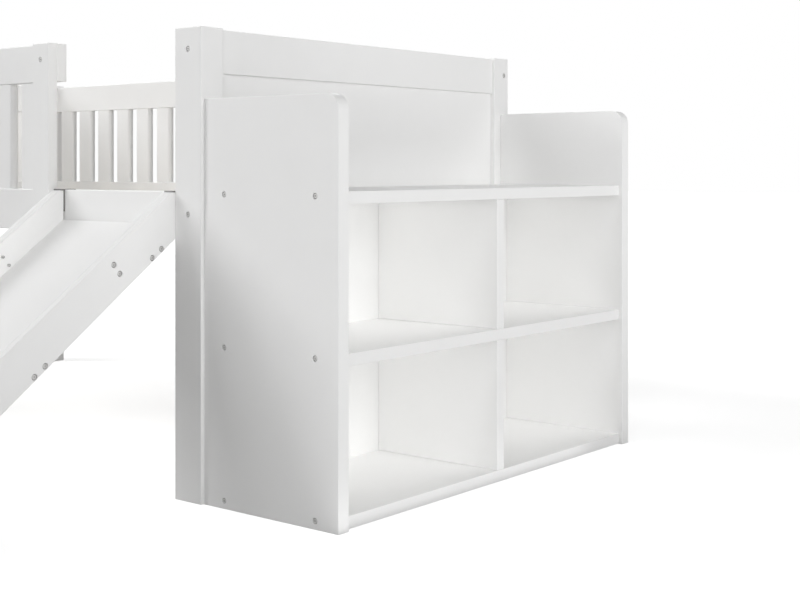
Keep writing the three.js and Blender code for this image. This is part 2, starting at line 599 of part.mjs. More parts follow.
// The bookcase stands against the head posts: an open tray over two rows of two cubbies
function bookcase() {
  const front = { y: BOOKCASE_INSET, inward: 1 };
  const back = { y: BOOKCASE_INSET + BOOKCASE_WIDTH, inward: -1 };
  const sideY = ({ y, inward }) => [y, y + inward * BOOKCASE_SIDE_THICKNESS].sort((a, b) => a - b);
  const insideY = [sideY(front)[1], sideY(back)[0]];
  const shelfY = grown(insideY, -FIT);
  const shelfBottoms = [0, 1, 2].map((i) => SHELF_FLOOR_GAP + i * (SHELF_THICKNESS + CUBBY_HEIGHT));
  const shelfZ = shelfBottoms.map((bottom) => [bottom, bottom + SHELF_THICKNESS]);
  const shelfFront = BOOKCASE_FRONT - SHELF_SETBACK;
  const panelX = [BOOKCASE_BACK + BACK_PANEL_INSET, BOOKCASE_BACK + BACK_PANEL_INSET + BACK_PANEL_THICKNESS];
  const panelY = grown(insideY, BACK_PANEL_TONGUE);
  const panelZ = [SHELF_FLOOR_GAP, shelfZ[2][0] + BACK_PANEL_TONGUE];
  const groove = sharpBlock(grown(panelX, FIT), grown(panelY, FIT), grown(panelZ, FIT));
  const corners = [
    [BOOKCASE_BACK, 0],
    [BOOKCASE_FRONT, 0],
    [BOOKCASE_FRONT, BOOKCASE_HEIGHT, BOOKCASE_CORNER_RADIUS],
    [BOOKCASE_BACK, BOOKCASE_HEIGHT],
  ];
  const boltXs = [BOOKCASE_BACK + SHELF_BOLT_SETBACK, BOOKCASE_FRONT - SHELF_BOLT_SETBACK];
  const boltsOn = ({ y, inward }) => shelfZ.flatMap((z) => boltXs.map((x) => ({
    at: new THREE.Vector3(x, y, middle(z) + SHELF_BOLT_RISE),
    into: Y_AXIS.clone().multiplyScalar(inward),
    length: SHELF_BOLT_LENGTH,
  })));
  const frontBolts = boltsOn(front);
  const shelfBack = panelX[1] + FIT;
  const shelfCuts = frontBolts.map(boltHole);
  const dividerY = grown([middle(insideY), middle(insideY)], DIVIDER_THICKNESS / 2);
  const divider = (name, low, high) => board(
    name,
    whitePaint,
    [shelfBack, shelfFront],
    dividerY,
    [low + FIT, high - FIT],
    { edge: THIN_EDGE },
  );
  const side = (name, place, cuts) => placed(name, whitePaint, plateAlongY(corners, sideY(place), THIN_EDGE), {
    cuts: [groove, ...cuts],
  });
  const shelf = (name, backX, z) => board(name, whitePaint, [backX, shelfFront], shelfY, z, {
    edge: THIN_EDGE,
    cuts: [groove, ...shelfCuts],
  });
  const group = new THREE.Group();
  group.add(
    side('bookcase_side_front', front, boltCuts(frontBolts)),
    side('bookcase_side_back', back, boltsOn(back).map(counterbore)),
    shelf('shelf_bottom', shelfBack, shelfZ[0]),
    shelf('shelf_middle', shelfBack, shelfZ[1]),
    shelf('shelf_top', BOOKCASE_BACK, shelfZ[2]),
    divider('divider_lower', shelfZ[0][1], shelfZ[1][0]),
    divider('divider_upper', shelfZ[1][1], shelfZ[2][0]),
    board('bookcase_back_panel', whitePaint, panelX, panelY, panelZ, { edge: THIN_EDGE }),
    ...frontBolts.map((place, i) => bolt(`bolt_shelf_${i + 1}`, place)),
  );
  return group;
}

const loftBed = new THREE.Group();
loftBed.add(bed(), slide(), ladder(), bookcase());
loftBed.position.set((BED_LENGTH - BOOKCASE_FRONT) / 2, (SLIDE_REACH - BED_WIDTH) / 2, 0);

export default loftBed;
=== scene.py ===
"""Studio picture of a white painted loft bed with a slide, a ladder and a bookcase at its head end.

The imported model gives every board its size, place and eased edges. This script paints the boards, sets a
bolt head in every counterbore, and sets up the camera, the lamps and the white studio.

Lengths are in metres. The frame has its origin in the middle of the footprint on the floor, +Z up, the
bookcase at +X and the slide at -Y.
"""

from __future__ import annotations

import logging
import math
from dataclasses import dataclass, field
from enum import Enum, StrEnum
from typing import Iterable, Sequence, Union

import bpy
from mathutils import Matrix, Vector

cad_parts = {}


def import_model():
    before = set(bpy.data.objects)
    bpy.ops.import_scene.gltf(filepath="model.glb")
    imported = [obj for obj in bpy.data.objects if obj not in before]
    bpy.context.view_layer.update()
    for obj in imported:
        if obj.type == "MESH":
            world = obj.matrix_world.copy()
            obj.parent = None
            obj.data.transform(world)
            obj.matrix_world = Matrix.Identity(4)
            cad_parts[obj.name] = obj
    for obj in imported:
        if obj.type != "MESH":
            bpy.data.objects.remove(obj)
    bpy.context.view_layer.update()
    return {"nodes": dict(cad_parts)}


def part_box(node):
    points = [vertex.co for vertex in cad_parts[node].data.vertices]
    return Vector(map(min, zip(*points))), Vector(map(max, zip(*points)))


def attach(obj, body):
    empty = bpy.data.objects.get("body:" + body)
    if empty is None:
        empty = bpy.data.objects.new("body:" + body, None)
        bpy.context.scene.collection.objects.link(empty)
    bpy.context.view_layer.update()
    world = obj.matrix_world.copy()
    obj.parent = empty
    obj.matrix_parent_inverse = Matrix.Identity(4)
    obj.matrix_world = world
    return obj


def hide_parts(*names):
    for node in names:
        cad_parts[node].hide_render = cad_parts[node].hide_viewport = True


LOG = logging.getLogger("loft_bed")
MM = 0.001
BODY = "root"

X_AXIS = Vector((1.0, 0.0, 0.0))
Y_AXIS = Vector((0.0, 1.0, 0.0))

Colour = tuple[float, float, float]
Span = tuple[float, float]
Socket = bpy.types.NodeSocket
Feed = Union[Socket, bpy.types.ID, float, str, tuple[float, ...]]

ZERO_TO_ONE: Span = (0.0, 1.0)

# A Mix node has sockets of the same name for every type, so those for colours are found by index.
MIX_SHARE, MIX_FIRST, MIX_SECOND, MIX_RESULT = 0, 6, 7, 2


class Slot(Enum):
    """The record's material slots."""

    WHITE_PAINT = "white_paint"
    PALE_PINE = "pale_pine"
    BOLT_STEEL = "bolt_steel"
    HOOK_STEEL = "hook_steel"


class Along(Enum):
    """The way that a board runs, and its grain with it."""

    X = "x"
    Y = "y"
    Z = "z"
    SLOPE = "slope"

    def turn(self, slope: float) -> tuple[float, float, float]:
        """The turn that lays the board's length along a texture's X axis.

        Args:
            slope: the slide's slope in radians.

        Returns:
            Euler angles for a Mapping node of type Texture.
        """
        return {
            Along.X: (0.0, 0.0, 0.0),
            Along.Y: (0.0, 0.0, math.pi / 2),
            Along.Z: (0.0, -math.pi / 2, 0.0),
            Along.SLOPE: (slope, 0.0, math.pi / 2),
        }[self]


class End(StrEnum):
    """The two ends of the bed, after which pieces are named."""

    HEAD = "head"
    FOOT = "foot"

    @property
    def inward(self) -> Vector:
        """The way from this end to the other."""
        return -X_AXIS if self is End.HEAD else X_AXIS

    def outer(self, low: Vector, high: Vector) -> float:
        """The X of a box's outer face at this end, from the box's corners."""
        return high.x if self is End.HEAD else low.x


class Side(StrEnum):
    """The two long sides of the bed, after which pieces are named."""

    FRONT = "front"
    BACK = "back"

    @property
    def inward(self) -> Vector:
        """The way from this side to the other."""
        return Y_AXIS if self is Side.FRONT else -Y_AXIS

    def outer(self, low: Vector, high: Vector) -> float:
        """The Y of a box's outer face on this side, from the box's corners."""
        return low.y if self is Side.FRONT else high.y


class Gate(StrEnum):
    """The two gates in the front guard, after which its posts are named."""

    SLIDE = "slide"
    LADDER = "ladder"


class Row(StrEnum):
    """The two rows of cubbies in the bookcase."""

    UPPER = "upper"
    LOWER = "lower"


@dataclass(frozen=True)
class Ramp:
    """A straight ramp from one span of values to another, clamped at both ends."""

    source: Span
    target: Span


@dataclass(frozen=True)
class Speckle:
    """How fine and how rough a noise pattern is."""

    detail: float
    roughness: float


@dataclass(frozen=True)
class Relief:
    """How far a pattern stands out of a surface."""

    strength: float
    depth: float


@dataclass(frozen=True)
class Wear:
    """How a finish wears along its edges: the colour there, its share, its reach and how it breaks up."""

    colour: Colour
    share: float
    reach: float
    break_up: float = 60.0


class Graph:
    """A node tree with short calls for adding and joining nodes."""

    def __init__(self, tree: bpy.types.NodeTree) -> None:
        """Wraps a tree.

        Args:
            tree: the shader or geometry node tree to add to.
        """
        self.tree = tree

    def add(self, kind: str, /, **values: object) -> bpy.types.Node:
        """Adds a node.

        Args:
            kind: the node's type name.
            values: the node's settings, by property name.

        Returns:
            The new node.
        """
        node = self.tree.nodes.new(kind)
        for name, value in values.items():
            setattr(node, name, value)
        return node

    def put(self, node: bpy.types.Node, inputs: dict[str | int, Feed]) -> bpy.types.Node:
        """Sets or links a node's inputs.

        Args:
            node: the node to feed.
            inputs: for each socket's name or index, a plain value or a socket to link from.

        Returns:
            The same node.
        """
        for key, value in inputs.items():
            if isinstance(value, Socket):
                self.tree.links.new(value, node.inputs[key])
            else:
                node.inputs[key].default_value = value
        return node

    def math(self, operation: str, first: Feed, second: Feed = 0.0) -> Socket:
        """Adds a math node and returns its result."""
        node = self.add("ShaderNodeMath", operation=operation)
        return self.put(node, {0: first, 1: second}).outputs[0]

    def noise(self, place: Feed, scale: Feed, speckle: Speckle) -> Socket:
        """Adds a noise texture.

        Args:
            place: the point to read it at.
            scale: how dense it is, in waves to a metre.
            speckle: how fine and how rough it is.

        Returns:
            Its value.
        """
        inputs = {"Vector": place, "Scale": scale}
        inputs |= {"Detail": speckle.detail, "Roughness": speckle.roughness}
        return self.put(self.add("ShaderNodeTexNoise"), inputs).outputs[0]

    def remap(self, value: Feed, ramp: Ramp) -> Socket:
        """Adds a clamped map range node.

        Args:
            value: the value to map.
            ramp: the spans to map it from and to.

        Returns:
            The mapped value.
        """
        inputs = {"Value": value, "From Min": ramp.source[0], "From Max": ramp.source[1]}
        inputs |= {"To Min": ramp.target[0], "To Max": ramp.target[1]}
        return self.put(self.add("ShaderNodeMapRange", clamp=True), inputs).outputs[0]

    def mix(self, share: Feed, first: Feed, second: Feed) -> Socket:
        """Adds a colour mix node.

        Args:
            share: the second colour's share.
            first: the first colour.
            second: the second colour.

        Returns:
            The mixed colour.
        """
        node = self.add("ShaderNodeMix", data_type="RGBA")
        inputs = {MIX_SHARE: share, MIX_FIRST: first, MIX_SECOND: second}
        return self.put(node, inputs).outputs[MIX_RESULT]

    def bump(self, height: Socket, relief: Relief, over: Socket | None = None) -> Socket:
        """Adds a bump node.

        Args:
            height: the pattern's height, from 0 to 1.
            relief: how far it stands out.
            over: the normal of a pattern under it, if there is one.

        Returns:
            The surface's normal.
        """
        inputs = {"Strength": relief.strength, "Distance": relief.depth, "Height": height}
        if over is not None:
            inputs["Normal"] = over
        return self.put(self.add("ShaderNodeBump"), inputs).outputs[0]


def rgba(colour: Colour) -> tuple[float, float, float, float]:
    """A colour with full alpha."""
    return (*colour, 1.0)


def add_object(name: str, data: bpy.types.ID) -> bpy.types.Object:
    """Adds an object to the scene.

    Args:
        name: its name.
        data: its mesh, lamp or camera.

    Returns:
        The object.
    """
    added = bpy.data.objects.new(name, data)
    bpy.context.scene.collection.objects.link(added)
    return added


class Effect:
    """A pattern or a mask that more than one finish uses: a shader node group, built once."""

    name: str
    inputs: dict[str, float]
    outputs: tuple[str, ...]
    _groups: dict[str, bpy.types.NodeTree] = {}

    @classmethod
    def fill(cls, graph: Graph, given: bpy.types.NodeOutputs) -> dict[str, Socket]:
        """Builds what is inside the group.

        Args:
            graph: the group's graph.
            given: the group's inputs, as the sockets to link from.

        Returns:
            What feeds each of the group's outputs.
        """
        raise NotImplementedError

    @classmethod
    def place(cls, graph: Graph, inputs: dict[str, Feed]) -> bpy.types.NodeOutputs:
        """Puts the group into a material's tree, and builds it when it is first used.

        Args:
            graph: the material's graph.
            inputs: values or sockets for the group's inputs.

        Returns:
            The outputs of the group's node.
        """
        if cls.name not in cls._groups:
            cls._groups[cls.name] = cls._build()
        node = graph.add("ShaderNodeGroup", node_tree=cls._groups[cls.name])
        return graph.put(node, inputs).outputs

    @classmethod
    def _build(cls) -> bpy.types.NodeTree:
        """Builds the group.

        Returns:
            The group, which has a Vector input beside its own.
        """
        group = bpy.data.node_groups.new(cls.name, "ShaderNodeTree")
        group.interface.new_socket("Vector", in_out="INPUT", socket_type="NodeSocketVector")
        for label, default in cls.inputs.items():
            socket = group.interface.new_socket(label, in_out="INPUT", socket_type="NodeSocketFloat")
            socket.default_value = default
        for label in cls.outputs:
            group.interface.new_socket(label, in_out="OUTPUT", socket_type="NodeSocketFloat")
        graph = Graph(group)
        given, out = graph.add("NodeGroupInput"), graph.add("NodeGroupOutput")
        graph.put(out, cls.fill(graph, given.outputs))
        return group


class EdgeWear(Effect):
    """A mask that is 1 along worn edges and breaks up along their length."""

    name = "edge wear"
    inputs = {"Reach": 2.0 * MM, "Break Up": 60.0}
    outputs = ("Mask",)
    rounding_samples = 4
    edge = Ramp((0.995, 0.86), ZERO_TO_ONE)
    speckle = Speckle(detail=4.0, roughness=0.6)
    patches = Ramp((0.38, 0.66), (0.25, 1.0))

    @classmethod
    def fill(cls, graph: Graph, given: bpy.types.NodeOutputs) -> dict[str, Socket]:
        """Finds the edges where a rounded surface would turn away from the real one.

        Args:
            graph: the group's graph.
            given: Vector, Reach and Break Up.

        Returns:
            The Mask.
        """
        rounded = graph.add("ShaderNodeBevel", samples=cls.rounding_samples)
        graph.put(rounded, {"Radius": given["Reach"]})
        surface = graph.add("ShaderNodeNewGeometry")
        agreement = graph.add("ShaderNodeVectorMath", operation="DOT_PRODUCT")
        graph.put(agreement, {0: rounded.outputs[0], 1: surface.outputs["Normal"]})
        edge = graph.remap(agreement.outputs["Value"], cls.edge)
        patches = graph.remap(graph.noise(given["Vector"], given["Break Up"], cls.speckle), cls.patches)
        return {"Mask": graph.math("MULTIPLY", edge, patches)}


class PaintFilm(Effect):
    """The surface of a rolled paint film: a fine stipple over long, slow waves."""

    name = "paint film"
    inputs = {"Stipple Scale": 900.0, "Wave Scale": 14.0}
    outputs = ("Height", "Sheen")
    stipple_speckle = Speckle(detail=2.0, roughness=0.45)
    stipple_share = 0.35
    wave_speckle = Speckle(detail=3.0, roughness=0.5)
    wave_share = 0.65

    @classmethod
    def fill(cls, graph: Graph, given: bpy.types.NodeOutputs) -> dict[str, Socket]:
        """Lays the stipple over the waves.

        Args:
            graph: the group's graph.
            given: Vector, Stipple Scale and Wave Scale.

        Returns:
            The Height, and the waves alone as the Sheen.
        """
        stipple = graph.noise(given["Vector"], given["Stipple Scale"], cls.stipple_speckle)
        waves = graph.noise(given["Vector"], given["Wave Scale"], cls.wave_speckle)
        fine = graph.math("MULTIPLY", stipple, cls.stipple_share)
        slow = graph.math("MULTIPLY", waves, cls.wave_share)
        return {"Height": graph.math("ADD", fine, slow), "Sheen": waves}


class WoodGrain(Effect):
    """Long wood grain along the vector's X axis: rings, and the fibres between them."""

    name = "wood grain"
    inputs = {"Ring Scale": 16.0, "Stretch": 0.045}
    outputs = ("Rings", "Fibres")
    wander = Speckle(detail=2.0, roughness=0.4)
    ring_count = 46.0
    ring_tone = Ramp((-1.0, 1.0), ZERO_TO_ONE)
    fibre_scale = 900.0
    fibre_speckle = Speckle(detail=3.0, roughness=0.6)

    @classmethod
    def fill(cls, graph: Graph, given: bpy.types.NodeOutputs) -> dict[str, Socket]:
        """Draws both patterns out along the board.

        Args:
            graph: the group's graph.
            given: Vector, Ring Scale and Stretch.

        Returns:
            The Rings and the Fibres.
        """
        parts = graph.put(graph.add("ShaderNodeSeparateXYZ"), {0: given["Vector"]}).outputs
        along = graph.math("MULTIPLY", parts[0], given["Stretch"])
        drawn = graph.put(graph.add("ShaderNodeCombineXYZ"), {0: along, 1: parts[1], 2: parts[2]})
        wander = graph.noise(drawn.outputs[0], given["Ring Scale"], cls.wander)
        rings = graph.math("SINE", graph.math("MULTIPLY", wander, cls.ring_count))
        fibres = graph.noise(drawn.outputs[0], cls.fibre_scale, cls.fibre_speckle)
        return {"Rings": graph.remap(rings, cls.ring_tone), "Fibres": fibres}


class Finish:
    """A surface finish: it makes one Blender material for each way that boards run."""

    slot: Slot
    wear: Wear

    def __init__(self) -> None:
        """Starts with no materials made, and a level slide."""
        self.slope = 0.0
        self._made: dict[Along, bpy.types.Material] = {}

    def material(self, along: Along = Along.X) -> bpy.types.Material:
        """The material for boards that run one way, made when it is first asked for.

        Args:
            along: the way the board runs.

        Returns:
            The material.
        """
        if along not in self._made:
            made = bpy.data.materials.new(f"{self.slot.value}_{along.value}")
            made.use_nodes = True
            graph = Graph(made.node_tree)
            place = graph.add("ShaderNodeTexCoord").outputs["Object"]
            turned = graph.add("ShaderNodeMapping", vector_type="TEXTURE")
            graph.put(turned, {"Vector": place, "Rotation": along.turn(self.slope)})
            graph.put(made.node_tree.nodes["Principled BSDF"], self.look(graph, turned.outputs[0]))
            self._made[along] = made
        return self._made[along]

    def look(self, graph: Graph, place: Socket) -> dict[str, Feed]:
        """Builds the finish's patterns.

        Args:
            graph: the material's graph.
            place: the point on the board, its X along the grain.

        Returns:
            What feeds the material's Principled BSDF.
        """
        raise NotImplementedError

    def worn(self, graph: Graph, place: Socket, colour: Feed) -> Socket:
        """Lays the worn colour along the edges.

        Args:
            graph: the material's graph.
            place: the point on the board.
            colour: the colour away from the edges.

        Returns:
            The colour with its worn edges.
        """
        inputs = {"Vector": place, "Reach": self.wear.reach, "Break Up": self.wear.break_up}
        mask = EdgeWear.place(graph, inputs)["Mask"]
        share = graph.math("MULTIPLY", mask, self.wear.share)
        return graph.mix(share, colour, rgba(self.wear.colour))


class WhitePaint(Finish):
    """Satin white paint over a filled, sanded board, thin at the edges."""

    slot = Slot.WHITE_PAINT
    colour: Colour = (0.95, 0.949, 0.944)
    wear = Wear(colour=(0.84, 0.83, 0.81), share=0.22, reach=1.6 * MM)
    tone = Ramp((0.3, 0.7), (0.985, 1.0))
    roughness = Ramp((0.25, 0.75), (0.38, 0.47))
    grain_relief = Relief(strength=0.5, depth=0.04 * MM)
    film_relief = Relief(strength=0.5, depth=0.03 * MM)
    refraction = 1.46

    def look(self, graph: Graph, place: Socket) -> dict[str, Feed]:
        """Builds a rolled film over a trace of grain.

        Args:
            graph: the material's graph.
            place: the point on the board, its X along the grain.

        Returns:
            What feeds the material's Principled BSDF.
        """
        film = PaintFilm.place(graph, {"Vector": place})
        grain = WoodGrain.place(graph, {"Vector": place})
        toned = graph.add("ShaderNodeHueSaturation")
        tone = graph.remap(film["Sheen"], self.tone)
        graph.put(toned, {"Color": self.worn(graph, place, rgba(self.colour)), "Value": tone})
        sanded = graph.bump(grain["Fibres"], self.grain_relief)
        return {
            "Base Color": toned.outputs[0],
            "Roughness": graph.remap(film["Sheen"], self.roughness),
            "Normal": graph.bump(film["Height"], self.film_relief, over=sanded),
            "IOR": self.refraction,
        }


class PalePine(Finish):
    """Sanded pine without paint, with rings, fibres and a few darker streaks."""

    slot = Slot.PALE_PINE
    early: Colour = (0.85, 0.79, 0.68)
    late: Colour = (0.72, 0.61, 0.46)
    wear = Wear(colour=early, share=0.3, reach=1.2 * MM)
    ring_sharpness = 2.0
    ring_share = 0.55
    streaks = Ramp((0.35, 0.75), (0.0, 0.3))
    roughness = Ramp((0.3, 0.7), (0.5, 0.68))
    relief = Relief(strength=0.4, depth=0.12 * MM)

    def look(self, graph: Graph, place: Socket) -> dict[str, Feed]:
        """Builds late wood in rings and streaks over early wood.

        Args:
            graph: the material's graph.
            place: the point on the board, its X along the grain.

        Returns:
            What feeds the material's Principled BSDF.
        """
        grain = WoodGrain.place(graph, {"Vector": place})
        sharp = graph.math("POWER", grain["Rings"], self.ring_sharpness)
        rings = graph.math("MULTIPLY", sharp, self.ring_share)
        ringed = graph.mix(rings, rgba(self.early), rgba(self.late))
        streaked = graph.mix(graph.remap(grain["Fibres"], self.streaks), ringed, rgba(self.late))
        return {
            "Base Color": self.worn(graph, place, streaked),
            "Roughness": graph.remap(grain["Fibres"], self.roughness),
            "Normal": graph.bump(grain["Fibres"], self.relief),
        }


class BoltSteel(Finish):
    """Steel with a matt grey zinc-flake coat, bright where it rubs, with painted shade that darkens it in
    its recesses.
    """

    slot = Slot.BOLT_STEEL
    colour: Colour = (0.64, 0.635, 0.625)
    wear = Wear(colour=(0.74, 0.735, 0.725), share=0.6, reach=0.3 * MM, break_up=500.0)
    # Painted shade: the coat turns towards this dark colour where ambient occlusion finds the head shut in
    # by its counterbore and socket.
    painted_recess_shade: Colour = (0.22, 0.215, 0.21)
    shade_reach = 2.5 * MM
    shade_samples = 8
    unshaded_share = Ramp((0.4, 0.9), ZERO_TO_ONE)
    cloud_scale = 420.0
    cloud = Speckle(detail=3.0, roughness=0.6)
    roughness = Ramp((0.3, 0.7), (0.4, 0.55))
    metallic = 0.2

    def look(self, graph: Graph, place: Socket) -> dict[str, Feed]:
        """Builds a faintly cloudy coat with painted shade, darker where the head is shut in.

        Args:
            graph: the material's graph.
            place: the point on the head.

        Returns:
            What feeds the material's Principled BSDF.
        """
        # Painted shade: an ambient occlusion node darkens the base colour in the gap around the head and in
        # its socket.
        occlusion = graph.add("ShaderNodeAmbientOcclusion", samples=self.shade_samples)
        graph.put(occlusion, {"Distance": self.shade_reach})
        unshaded_share = graph.remap(occlusion.outputs["AO"], self.unshaded_share)
        coat = self.worn(graph, place, rgba(self.colour))
        cloud = graph.noise(place, self.cloud_scale, self.cloud)
        return {
            "Base Color": graph.mix(unshaded_share, rgba(self.painted_recess_shade), coat),
            "Metallic": self.metallic,
            "Roughness": graph.remap(cloud, self.roughness),
        }


class HookSteel(Finish):
    """Dark grey powder coat on bent steel, paler where it rubs."""

    slot = Slot.HOOK_STEEL
    colour: Colour = (0.25, 0.245, 0.24)
    wear = Wear(colour=(0.5, 0.49, 0.48), share=0.5, reach=0.6 * MM, break_up=220.0)
    stipple_scale = 1400.0
    roughness = Ramp((0.3, 0.7), (0.45, 0.6))
    relief = Relief(strength=0.5, depth=0.08 * MM)
    metallic = 0.3

    def look(self, graph: Graph, place: Socket) -> dict[str, Feed]:
        """Builds a stippled coat.

        Args:
            graph: the material's graph.
            place: the point on the hook.

        Returns:
            What feeds the material's Principled BSDF.
        """
        film = PaintFilm.place(graph, {"Vector": place, "Stipple Scale": self.stipple_scale})
        return {
            "Base Color": self.worn(graph, place, rgba(self.colour)),
            "Metallic": self.metallic,
            "Roughness": graph.remap(film["Height"], self.roughness),
            "Normal": graph.bump(film["Height"], self.relief),
        }


@dataclass
class Finishes:
    """The four finishes of the bed."""

    paint: WhitePaint = field(default_factory=WhitePaint)
    pine: PalePine = field(default_factory=PalePine)
    bolt: BoltSteel = field(default_factory=BoltSteel)
    hook: HookSteel = field(default_factory=HookSteel)


@dataclass(frozen=True)
class BoltPlace:
    """A counterbore: the point where its axis meets the face, and the way it goes in."""

    at: Vector
    into: Vector


@dataclass
class BoltHeads:
    """Round bolt heads with a hexagon socket and a shank, made with Geometry Nodes."""

    sunk: float = 0.8 * MM
    radius: float = 5.8 * MM
    height: float = 3.4 * MM
    chamfer: float = 1.8 * MM
    socket_radius: float = 2.1 * MM
    socket_depth: float = 1.2 * MM
    shank_radius: float = 3.2 * MM
    shank_length: float = 30.0 * MM
    head_sides: int = 40
    shank_sides: int = 16
    socket_sides: int = 6
    tree_name: str = "bolt heads"
    outward: str = "out"

    def _lengths(self) -> dict[str, float]:
        """The tree's inputs for lengths.

        Returns:
            Each length by its input's name.
        """
        return {
            "Head Radius": self.radius,
            "Head Height": self.height,
            "Chamfer": self.chamfer,
            "Socket Radius": self.socket_radius,
            "Socket Depth": self.socket_depth,
            "Shank Radius": self.shank_radius,
            "Shank Length": self.shank_length,
        }

    def _counts(self) -> dict[str, int]:
        """The tree's inputs for numbers of sides.

        Returns:
            Each number by its input's name.
        """
        return {
            "Head Sides": self.head_sides,
            "Shank Sides": self.shank_sides,
            "Socket Sides": self.socket_sides,
        }

    @staticmethod
    def _drum(graph: Graph, radii: tuple[Feed, Feed], depth: Feed, low: Feed, sides: Feed) -> Socket:
        """A closed drum on the Z axis.

        Args:
            graph: the tree's graph.
            radii: its radius at the lower and at the upper end.
            depth: its depth along the axis.
            low: the height of its lower end.
            sides: how many sides it has.

        Returns:
            Its mesh.
        """
        cone = graph.add("GeometryNodeMeshCone", fill_type="NGON")
        graph.put(cone, {"Vertices": sides, "Depth": depth})
        graph.put(cone, {"Radius Bottom": radii[0], "Radius Top": radii[1]})
        place = graph.put(graph.add("ShaderNodeCombineXYZ"), {2: low}).outputs[0]
        moved = graph.add("GeometryNodeTransform")
        return graph.put(moved, {"Geometry": cone.outputs["Mesh"], "Translation": place}).outputs[0]

    def _solid(self, graph: Graph, given: bpy.types.NodeOutputs) -> Socket:
        """One bolt: a barrel with a chamfered rim and a shank, less its hexagon socket.

        Args:
            graph: the tree's graph.
            given: the tree's inputs.

        Returns:
            Its mesh, with the seat of the head at the origin and the shank down.
        """
        radius, height, chamfer = given["Head Radius"], given["Head Height"], given["Chamfer"]
        barrel_height = graph.math("SUBTRACT", height, chamfer)
        rim_radius = graph.math("SUBTRACT", radius, chamfer)
        barrel = self._drum(graph, (radius, radius), barrel_height, 0.0, given["Head Sides"])
        rim = self._drum(graph, (radius, rim_radius), chamfer, barrel_height, given["Head Sides"])
        shank_radii, shank_length = (given["Shank Radius"],) * 2, given["Shank Length"]
        shank_low = graph.math("MULTIPLY", shank_length, -1.0)
        shank = self._drum(graph, shank_radii, shank_length, shank_low, given["Shank Sides"])
        socket_radii, socket_depth = (given["Socket Radius"],) * 2, given["Socket Depth"]
        socket_low = graph.math("SUBTRACT", height, socket_depth)
        twice = graph.math("MULTIPLY", socket_depth, 2.0)
        socket = self._drum(graph, socket_radii, twice, socket_low, given["Socket Sides"])
        body = graph.add("GeometryNodeMeshBoolean", operation="UNION", solver="EXACT")
        for solid in (barrel, rim, shank):
            graph.tree.links.new(solid, body.inputs["Mesh 2"])
        hollow = graph.add("GeometryNodeMeshBoolean", operation="DIFFERENCE", solver="EXACT")
        return graph.put(hollow, {"Mesh 1": body.outputs["Mesh"], "Mesh 2": socket}).outputs["Mesh"]

    def tree(self) -> bpy.types.NodeTree:
        """Builds the tree, which copies one bolt to every point and turns it into its hole.

        Returns:
            The geometry node tree, with named inputs for its sizes and its finish.
        """
        tree = bpy.data.node_groups.new(self.tree_name, "GeometryNodeTree")
        inputs = {"Geometry": "NodeSocketGeometry"}
        inputs |= {label: "NodeSocketFloat" for label in self._lengths()}
        inputs |= {label: "NodeSocketInt" for label in self._counts()}
        inputs |= {"Finish": "NodeSocketMaterial"}
        for label, kind in inputs.items():
            tree.interface.new_socket(label, in_out="INPUT", socket_type=kind)
        tree.interface.new_socket("Geometry", in_out="OUTPUT", socket_type="NodeSocketGeometry")
        graph = Graph(tree)
        given = graph.add("NodeGroupInput").outputs
        way = graph.add("GeometryNodeInputNamedAttribute", data_type="FLOAT_VECTOR")
        graph.put(way, {"Name": self.outward})
        turn = graph.add("FunctionNodeAlignRotationToVector", axis="Z")
        graph.put(turn, {"Vector": way.outputs[0]})
        spread = graph.add("GeometryNodeInstanceOnPoints")
        graph.put(spread, {"Points": given["Geometry"], "Instance": self._solid(graph, given)})
        graph.put(spread, {"Rotation": turn.outputs[0]})
        real = graph.put(graph.add("GeometryNodeRealizeInstances"), {"Geometry": spread.outputs[0]})
        painted = graph.add("GeometryNodeSetMaterial")
        graph.put(painted, {"Geometry": real.outputs[0], "Material": given["Finish"]})
        graph.put(graph.add("NodeGroupOutput"), {"Geometry": painted.outputs[0]})
        return tree

    def _points(self, name: str, places: Sequence[BoltPlace]) -> bpy.types.Mesh:
        """A mesh with a point at each head's seat, and the way that the head faces.

        Args:
            name: the mesh's name.
            places: the counterbores to fill.

        Returns:
            The mesh.
        """
        points = bpy.data.meshes.new(name)
        seats = [place.at + place.into * (self.sunk + self.height) for place in places]
        points.from_pydata(seats, [], [])
        outward = points.attributes.new(self.outward, "FLOAT_VECTOR", "POINT")
        outward.data.foreach_set("vector", [value for place in places for value in -place.into])
        return points

    def fit(self, name: str, places: Sequence[BoltPlace], finish: Finish) -> bpy.types.Object:
        """Makes the heads of some bolts as one plain mesh.

        Args:
            name: the new object's name.
            places: the counterbores to fill.
            finish: the heads' finish.

        Returns:
            The object, riding on the bed.
        """
        points = self._points(f"{name}_points", places)
        source = add_object(points.name, points)
        modifier = source.modifiers.new("bolts", "NODES")
        modifier.node_group = bpy.data.node_groups.get(self.tree_name) or self.tree()
        values = {**self._lengths(), **self._counts(), "Finish": finish.material()}
        for item in modifier.node_group.interface.items_tree:
            if item.name in values:
                modifier[item.identifier] = values[item.name]
        evaluated = source.evaluated_get(bpy.context.evaluated_depsgraph_get())
        mesh = bpy.data.meshes.new_from_object(evaluated)
        mesh.name = name
        source.modifiers.remove(modifier)
        bpy.data.objects.remove(source)
        bpy.data.meshes.remove(points)
        piece = add_object(name, mesh)
        piece.modifiers.new("shade", "WEIGHTED_NORMAL")
        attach(piece, BODY)
        LOG.info("%s: %d bolt heads", name, len(places))
        return piece


